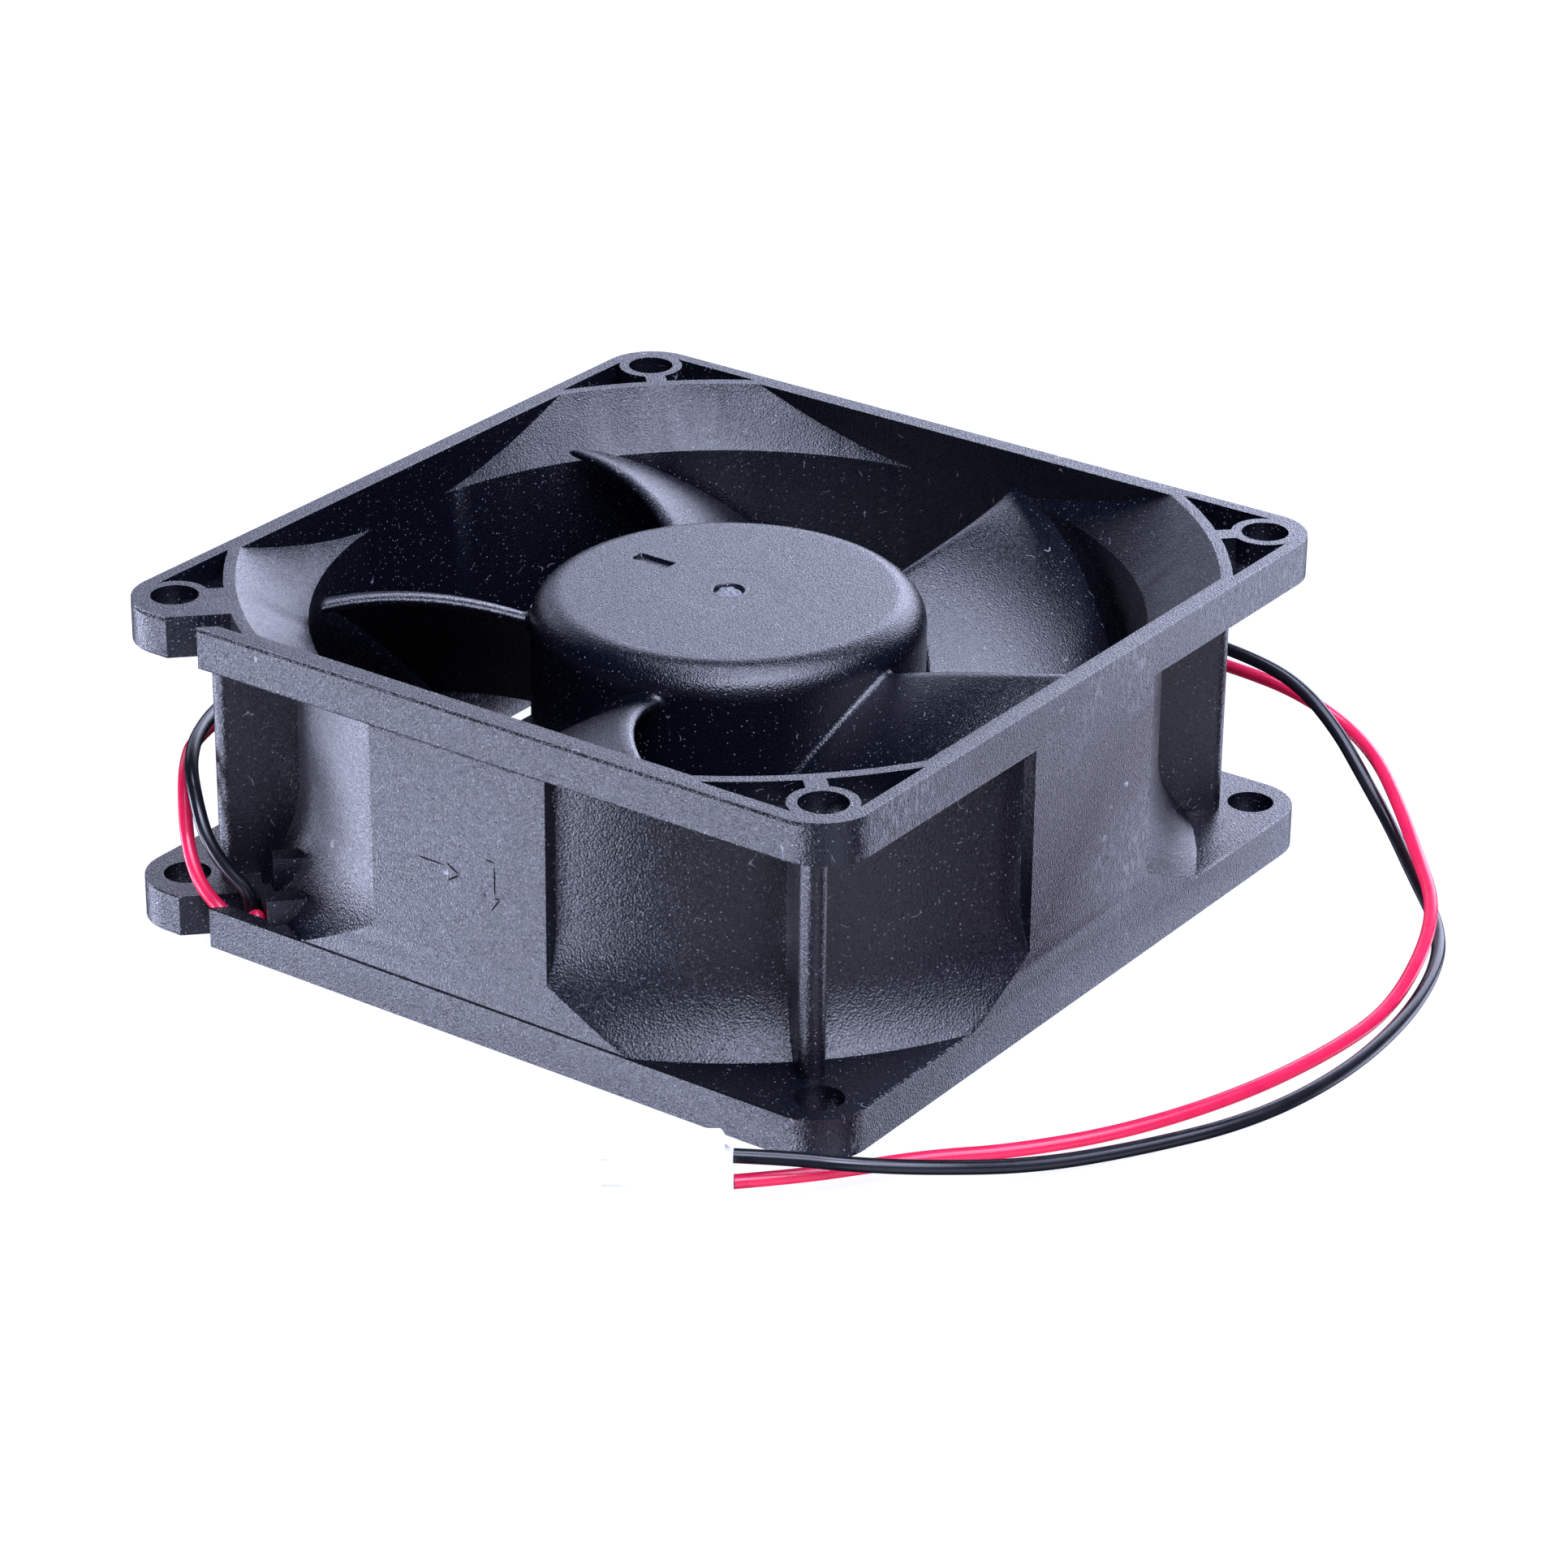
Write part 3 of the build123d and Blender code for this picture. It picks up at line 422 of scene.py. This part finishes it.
def blade_points(sizes):
    """One blade, a closed section carried from the hub out to the tip.

    Middle surface: height = lead(t) - slope(t) x behind - bend(t) x behind squared, with t the share
    of the way out and behind the angle in degrees from the leading edge. The section is a long loop
    whose leading end is half an ellipse, NOSE_LENGTH long, and whose trailing end is round. It
    swells by a quarter circle where it meets the hub, and is rounded by TIP_ROUND at the tip."""
    fillet = sizes.root_fillet / MM
    quarter = np.linspace(0, np.pi / 2, 8)
    out = np.concatenate([[HUB_RADIUS - 0.7], HUB_RADIUS + fillet * (1 - np.cos(quarter)),
                          np.linspace(HUB_RADIUS + fillet, TIP_RADIUS - TIP_ROUND - 0.05, 26)[1:],
                          TIP_RADIUS - TIP_ROUND * (1 - np.sin(quarter))])[:, None]
    t = (out - HUB_RADIUS) / (TIP_RADIUS - HUB_RADIUS)
    lead = HUB_TOP - 3.5 + 6.4 * t - 3.1 * t * t
    slope, bend = 0.136 + 0.036 * t, 0.0036 + 0.0025 * t
    span = (-slope + np.sqrt(slope ** 2 + 4 * bend * (lead - HUB_BOTTOM))) / (2 * bend)
    length = np.hypot(np.radians(span) * out, lead - HUB_BOTTOM)
    turn = np.linspace(0, 2 * np.pi, 160, endpoint=False)
    share = (1 - np.cos(turn)) / 2
    side = np.sign(np.sin(turn) + 1e-9)
    thick = 1.7 - 0.4 * t
    half = thick / 2 * (0.82 + 0.6 * share - 1.05 * share ** 3)
    near = np.minimum(share, 1 - share) * length
    nose = np.where(share < 0.5, NOSE_LENGTH, half)
    half = half * np.sqrt(1 - np.clip(1 - near / nose, 0, 1) ** 2)
    half = half * np.sqrt(1 - np.clip(1 - (TIP_RADIUS - out) / TIP_ROUND, 0, 1) ** 2)
    along, across = share * length, side * half
    step_a = np.roll(along, -1, 1) - np.roll(along, 1, 1)
    step_b = np.roll(across, -1, 1) - np.roll(across, 1, 1)
    reach = np.hypot(step_a, step_b) + 1e-9
    swell = fillet - np.sqrt(fillet ** 2 - np.clip(fillet - (out - HUB_RADIUS), 0, fillet) ** 2)
    along = along - swell * step_b / reach
    across = across + swell * step_a / reach
    behind = along / length * span
    rise = -(slope + 2 * bend * behind)
    run = -np.radians(1) * out
    size = np.hypot(rise, run)
    angle = np.radians(-1.4 + 2.1 * t + 6.2 * t * t - behind) - across * rise / size / out
    height = lead - slope * behind - bend * behind ** 2 + across * run / size
    height = np.maximum(height, HUB_BOTTOM)
    return np.stack([out * np.cos(angle), out * np.sin(angle), height], axis=-1)


def impeller_piece(sizes, material):
    """Hub and turned copies of the blade, at equal angles, in one piece."""
    grids, blade = [hub_points(sizes)], blade_points(sizes)
    for k in range(BLADES):
        angle = 2 * math.pi * k / BLADES
        cosine, sine = math.cos(angle), math.sin(angle)
        grids.append(blade @ np.array([[cosine, sine, 0], [-sine, cosine, 0], [0, 0, 1]]))
    return piece_from("impeller_moulding", *joined(grids, True), material, "rotor", 38)


def gate_points():
    """Broken runner stub in the dimple: a low cone whose rim and crown are torn by sums of sines.

    Height = the dimple's floor + (0.26 + waves) x (1 - share to the sixth), share the way out."""
    share = np.linspace(0, 1, 14)[:, None]
    turn = np.linspace(0, 2 * np.pi, 40, endpoint=False)
    radius = 1.3 * share * (1 + 0.08 * np.sin(3 * turn + 1) + 0.05 * np.sin(7 * turn))
    crown = 0.4 * np.sin(5 * turn + 6 * share) * share * (1 - share)
    waves = crown + 0.05 * np.sin(11 * turn) * share
    height = HUB_TOP - DIMPLE_DEPTH + (0.26 + waves) * (1 - share ** 6)
    return np.stack([radius * np.cos(turn), radius * np.sin(turn), height], axis=-1)


def ridge_piece(name, runs, width, height, material):
    """Raised lines on the side towards -Y: a half round profile carried along each run.

    A run goes from one point (x, z) to another, in mm. Width and height are drawn in at both ends,
    times the root of 1 - (2 x share - 1) to the eighth."""
    share = np.linspace(0, 1, 5)[:, None]
    angle = np.linspace(0, math.pi, 7)
    full = np.sqrt(np.clip(1 - (2 * share - 1) ** 8, 0, 1))
    offset = np.cos(angle) * width / 2 * full
    y = -HALF_SIDE - np.sin(angle) * height * full
    grids = []
    for start, end in np.array(runs):
        along = (end - start) / np.linalg.norm(end - start)
        spot = (start - along * width / 2) * (1 - share) + (end + along * width / 2) * share
        x = spot[:, :1] - along[1] * offset
        z = spot[:, 1:] + along[0] * offset
        grids.append(np.stack([x, y, z], axis=-1))
    return piece_from(name, *joined(grids, False), material, "frame")


def lead_curve(name, route, radius, material):
    """Smooth line through the loose run of a lead, with a round section."""
    curve = bpy.data.curves.new(name, "CURVE")
    curve.dimensions = "3D"
    curve.resolution_u = 12
    curve.bevel_depth = radius
    curve.bevel_resolution = 5
    curve.use_fill_caps = True
    spline = curve.splines.new("NURBS")
    spline.points.add(len(route) - 1)
    for point, (x, y, z) in zip(spline.points, route):
        point.co = (x * MM, y * MM, z * MM, 1)
    spline.order_u = 3
    spline.use_endpoint_u = True
    curve.materials.append(material)
    piece = linked(name, curve)
    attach(piece, "frame")
    return piece


def stage_sheet(name, corners, height, material):
    """Flat sheet of the stage, with its corners (x, y) and its height in mm."""
    mesh = bpy.data.meshes.new(name)
    mesh.from_pydata([(x * MM, y * MM, height * MM) for x, y in corners], [], [tuple(range(len(corners)))])
    mesh.materials.append(material)
    return linked(name, mesh)


def direction(heading, height):
    """Unit vector towards a heading from +X and a height above the table, both in degrees."""
    heading, height = math.radians(heading), math.radians(height)
    return Vector((math.cos(heading) * math.cos(height), math.sin(heading) * math.cos(height),
                   math.sin(height)))


def aim_camera():
    """Camera at the photograph's viewing angle."""
    back = direction(VIEW_HEADING, VIEW_HEIGHT)
    level = direction(VIEW_HEADING + 90, 0)
    rise = back.cross(level)
    roll = math.radians(VIEW_ROLL)
    right = level * math.cos(roll) + rise * math.sin(roll)
    up = rise * math.cos(roll) - level * math.sin(roll)
    camera = linked("camera", bpy.data.cameras.new("camera"))
    camera.data.lens = VIEW_LENS
    camera.data.clip_start = 0.01
    place = Vector((0, 0, VIEW_MIDDLE)) + right * VIEW_RIGHT - up * VIEW_DOWN + back * VIEW_DISTANCE
    turn = Matrix((right, up, back)).transposed().to_4x4()
    camera.matrix_world = Matrix.Translation(place * MM) @ turn
    bpy.context.scene.camera = camera


class FanSizes(bpy.types.PropertyGroup):
    hub_edge: bpy.props.FloatProperty(name="Hub edge", description="Radius of the hub's top edge",
                                      default=3.0 * MM, unit="LENGTH")
    root_fillet: bpy.props.FloatProperty(name="Blade root", description="Fillet between blade and hub",
                                         default=0.9 * MM, unit="LENGTH")
    housing_edge: bpy.props.FloatProperty(name="Housing edge", description="Width of the rounded edges",
                                          default=0.22 * MM, unit="LENGTH")
    lead_radius: bpy.props.FloatProperty(name="Lead radius", description="Half the leads' outer diameter",
                                         default=0.65 * MM, unit="LENGTH")


class FanColours(bpy.types.PropertyGroup):
    housing: bpy.props.FloatVectorProperty(name="Housing", description="Skin of the moulded frame",
                                           subtype="COLOR", default=linear("#04060E"))
    impeller: bpy.props.FloatVectorProperty(name="Impeller", description="Skin of the moulded impeller",
                                            subtype="COLOR", default=linear("#04060E"))
    red: bpy.props.FloatVectorProperty(name="Red lead", description="Cover of the supply lead",
                                       subtype="COLOR", default=linear("#D81E4A"))
    black: bpy.props.FloatVectorProperty(name="Black lead", description="Cover of the return lead",
                                         subtype="COLOR", default=linear("#101116"))
    plug: bpy.props.FloatVectorProperty(name="Plug", description="Natural nylon of the plug",
                                        subtype="COLOR", default=linear("#F6F6F4"))


class FAN_OT_housing(bpy.types.Operator):
    """Rounds the moulded frame's edges and gives it its grained skin"""
    bl_idname = "fan.housing"
    bl_label = "Finish the housing"

    def execute(self, context):
        scene = context.scene
        # Glass-filled polyester out of a spark-eroded mould: dull blue-black with light fibre specks
        skin = moulded_plastic("polyester_moulded_eroded", scene.fan_colours.housing, 0.2, 0.28, 0.085,
                               lines=True)
        width = scene.fan_sizes.housing_edge / MM
        piece = softened_copy("housing", "housing_moulding", width, skin, "frame")
        # Arrow edges, cut in the mould: narrow matte steps that read as dark lines; their near black colour
        # and weak sheen are painted shadow, standing in for the shade in the arrows' grooves
        marks = worked_surface("polyester_arrow_painted_shadow", linear("#030307"), 0.2, 0.9)
        marks.node_tree.nodes["Principled BSDF"].inputs["Specular IOR Level"].default_value = 0.12
        ridge = ridge_piece("direction_arrows", ARROW_RUNS, 0.15, 0.04, marks)
        return {"FINISHED"}


class FAN_OT_impeller(bpy.types.Operator):
    """Builds the hub and blades and gives them their satin skin"""
    bl_idname = "fan.impeller"
    bl_label = "Build the impeller"

    def execute(self, context):
        scene = context.scene
        # The same polyester out of a finer mould: a little smoother, so broad faces shine softly
        skin = moulded_plastic("polyester_moulded_satin", scene.fan_colours.impeller, 0.18, 0.25, 0.06)
        piece = impeller_piece(scene.fan_sizes, skin)
        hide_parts("impeller")
        # Torn plastic shows its pale fibres
        torn = worked_surface("polyester_torn", linear("#74767C"), 0.25, 0.5, relief=0.3, tone=0.9)
        stub = piece_from("gate_stub", *joined([gate_points()], True), torn, "rotor", 80)
        return {"FINISHED"}


class FAN_OT_motor(bpy.types.Operator):
    """Finishes the motor's steel, copper, board and small parts"""
    bl_idname = "fan.motor"
    bl_label = "Finish the motor"

    def execute(self, context):
        # Zinc-plated deep-drawn steel, with faint upright draw marks
        drawn = worked_surface("steel_drawn_zinc_plated", linear("#B4B5BA"), 1.5, 0.34, 1.0, 0.004,
                               (1, 1, 0.15))
        # Bearing steel, ground: bright with fine rings
        ground = worked_surface("bearing_steel_ground", linear("#C9CACD"), 0.3, 0.18, 1.0, 0.002,
                                (1, 1, 6))
        # Blued spring steel, stamped
        blued = worked_surface("spring_steel_blued", linear("#5A6270"), 0.8, 0.3, 1.0, 0.003)
        # Free-cutting brass, turned
        brass = worked_surface("brass_turned", linear("#C9A35A"), 0.4, 0.28, 1.0, 0.003, (1, 1, 8))
        # Bonded ferrite, pressed: matte charcoal with a fine grit
        ferrite = worked_surface("ferrite_bonded_pressed", linear("#2B2B2D"), 0.25, 0.72, 0.0, 0.02)
        # Silicon steel sheets, stamped and stacked 0.5 mm thick
        stacked = worked_surface("silicon_steel_stacked", linear("#6E7177"), 0.5, 0.45, 1.0, 0.02,
                                 (0.05, 0.05, 1))
        # Nylon, moulded, natural
        nylon = worked_surface("nylon_moulded_natural", linear("#DAD6C6"), 1.2, 0.5, 0.0, 0.01, tone=0.06)
        # Acetal clip, moulded
        acetal = worked_surface("acetal_moulded", linear("#E6E4DA"), 0.8, 0.35, 0.0, 0.006, tone=0.05)
        # Enamelled copper wire of 0.25 mm, wound in rings about each pole
        copper = worked_surface("copper_enamelled_wound", linear("#B5642F"), 0.25, 0.3, 0.9, 0.06,
                                (0.1, 0.1, 1), 0.4)
        # Glass and epoxy board under green solder mask
        board = worked_surface("board_solder_mask", linear("#1F5A38"), 2.0, 0.35, 0.0, 0.01, tone=0.12)
        # Epoxy chip bodies, moulded
        chip = worked_surface("epoxy_moulded", linear("#1B1B1D"), 0.2, 0.55, 0.0, 0.01)
        # Ceramic capacitor, fired
        fired = worked_surface("ceramic_fired", linear("#B49A74"), 0.3, 0.5, 0.0, 0.008)
        # Tinned brass, dipped
        tinned = worked_surface("brass_tinned", linear("#C8C7C2"), 0.6, 0.25, 1.0, 0.004)
        finishes = {
            drawn: ["rotor_yoke", "lower_ball_cage", "upper_ball_cage"],
            ground: ["shaft", "lower_outer_race", "lower_inner_race", "lower_balls", "upper_outer_race",
                     "upper_inner_race", "upper_balls"],
            blued: ["spring_washer"],
            brass: ["shaft_boss", "bearing_tube"],
            ferrite: ["ring_magnet"],
            stacked: ["stator_core"],
            nylon: ["upper_insulator", "lower_insulator"],
            acetal: ["retaining_clip"],
            copper: ["stator_coils"],
            board: ["circuit_board"],
            chip: ["hall_sensor", "drive_chip", "resistors"],
            fired: ["capacitor"],
            tinned: ["winding_pins", "crimp_terminals"],
        }
        for material, nodes in finishes.items():
            for node in nodes:
                dress(node, material)
        return {"FINISHED"}


class FAN_OT_leads(bpy.types.Operator):
    """Lays the red and the black lead from the cable slot to the plug"""
    bl_idname = "fan.leads"
    bl_label = "Lay the leads"

    def execute(self, context):
        scene = context.scene
        black = extruded_pvc("pvc_extruded_black", scene.fan_colours.black)
        red = extruded_pvc("pvc_extruded_red", scene.fan_colours.red)
        dress("black_lead_held", black)
        dress("red_lead_held", red)
        radius = scene.fan_sizes.lead_radius
        for name, route, material, length, held in (
                ("black_lead_loose", BLACK_ROUTE, black, 0.2865, ["plug_moulding", "crimp_terminals"]),
                ("red_lead_loose", RED_ROUTE, red, 0.2867, ["plug_moulding"])):
            piece = lead_curve(name, route, radius, material)
            node = name.replace("_loose", "")
            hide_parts(node)
        return {"FINISHED"}


class FAN_OT_plug(bpy.types.Operator):
    """Finishes the two way plug on the leads' ends"""
    bl_idname = "fan.plug"
    bl_label = "Finish the plug"

    def execute(self, context):
        # Natural nylon, moulded: milky white, with light spread under a smooth skin
        milky = worked_surface("nylon_moulded_white", context.scene.fan_colours.plug, 1.5, 0.42, 0.0, 0.006,
                               tone=0.02)
        piece = softened_copy("plug_housing", "plug_moulding", 0.12, milky, "frame")
        return {"FINISHED"}


class FAN_OT_stage(bpy.types.Operator):
    """Sets a white table, soft lights and the camera"""
    bl_idname = "fan.stage"
    bl_label = "Set the stage"

    def execute(self, context):
        scene = context.scene
        scene.view_settings.view_transform = "Standard"
        # Frosted white acrylic lit from below, as on a product table
        acrylic = new_material("acrylic_frosted_lit", Base_Color=(*linear("#616161"), 1), Roughness=0.9,
                               Emission_Color=(*linear("#F4F6FF"), 1), Emission_Strength=0.9765)[0]
        reach = 6000
        table = stage_sheet("table", [(-reach, -reach), (reach, -reach), (reach, reach), (-reach, reach)],
                            0, acrylic)
        table.visible_shadow = table.visible_glossy = False
        # Black sheet under the duct: painted shadow, standing in for the shade the fan casts on the table,
        # so the duct stays as dark inside as on an unlit table; it also keeps the lamps below the table out
        # of the duct
        black = new_material("painted_shadow_black", Base_Color=(*linear("#0D0D12"), 1), Roughness=0.9)[0]
        corners = [(-36.8, -29), (-27, -38.5), (33, -38.5), (38.5, -33), (38.5, 33), (33, 38.5),
                   (-30, 38.5), (-36.8, 33)]
        painted_shadow_card = stage_sheet("painted_shadow_card", corners, 0.02, black)
        # The room itself gives no light
        room = bpy.data.worlds.new("unlit_room")
        room.use_nodes = True
        room.node_tree.nodes["Background"].inputs["Strength"].default_value = 0.0
        scene.world = room
        # Name, heading from +X, height and apparent size in degrees, strength. The lamps below the
        # table shine up through it and give the upright sides their sheen
        lamps = (
            ("top", 90, 88, 25, 1.55),
            ("front", 311, 50, 30, 2.6),
            ("front_right", 348, 42, 30, 1.0),
            ("side", 10, 60, 30, 1.5),
            ("back", 125, 22, 30, 0.5),
            ("back_low", 100, 14, 40, 1.85),
            ("back_left", 155, 20, 30, 0.24),
            ("under_left", 251, -22, 30, 2.5),
            ("under_far_left", 199, -18, 32, 2.4),
            ("under_right", 67, -21, 36, 0.95),
            ("under_front", 335, -24, 60, 0.8),
        )
        for name, heading, height, size, strength in lamps:
            light = bpy.data.lights.new(name, "SUN")
            light.angle = math.radians(size)
            light.energy = strength
            light.color = LAMP_COLOUR
            lamp = linked(name, light)
            lamp.location = direction(heading, height)
            lamp.rotation_euler = lamp.location.to_track_quat("Z", "Y").to_euler()
        aim_camera()
        return {"FINISHED"}


class FAN_PT_panel(bpy.types.Panel):
    """Sizes, colours and steps of the fan's finish"""
    bl_idname = "FAN_PT_panel"
    bl_label = "Cooling fan"
    bl_space_type = "VIEW_3D"
    bl_region_type = "UI"
    bl_category = "Fan"

    def draw(self, context):
        for group in (context.scene.fan_sizes, context.scene.fan_colours):
            for key in group.bl_rna.properties.keys():
                if key not in ("rna_type", "name"):
                    self.layout.prop(group, key)
        for step in STEPS:
            self.layout.operator(step.bl_idname)


STEPS = (FAN_OT_housing, FAN_OT_impeller, FAN_OT_motor, FAN_OT_plug, FAN_OT_leads, FAN_OT_stage)
CLASSES = (FanSizes, FanColours, *STEPS, FAN_PT_panel)


def register():
    for item in CLASSES:
        bpy.utils.register_class(item)
    bpy.types.Scene.fan_sizes = bpy.props.PointerProperty(type=FanSizes)
    bpy.types.Scene.fan_colours = bpy.props.PointerProperty(type=FanColours)


def unregister():
    del bpy.types.Scene.fan_colours
    del bpy.types.Scene.fan_sizes
    for item in reversed(CLASSES):
        bpy.utils.unregister_class(item)


def main():
    """Registers the classes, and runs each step."""
    register()
    bpy.ops.fan.housing()
    bpy.ops.fan.impeller()
    bpy.ops.fan.motor()
    bpy.ops.fan.plug()
    bpy.ops.fan.leads()
    bpy.ops.fan.stage()


if __name__ == "__main__":
    main()
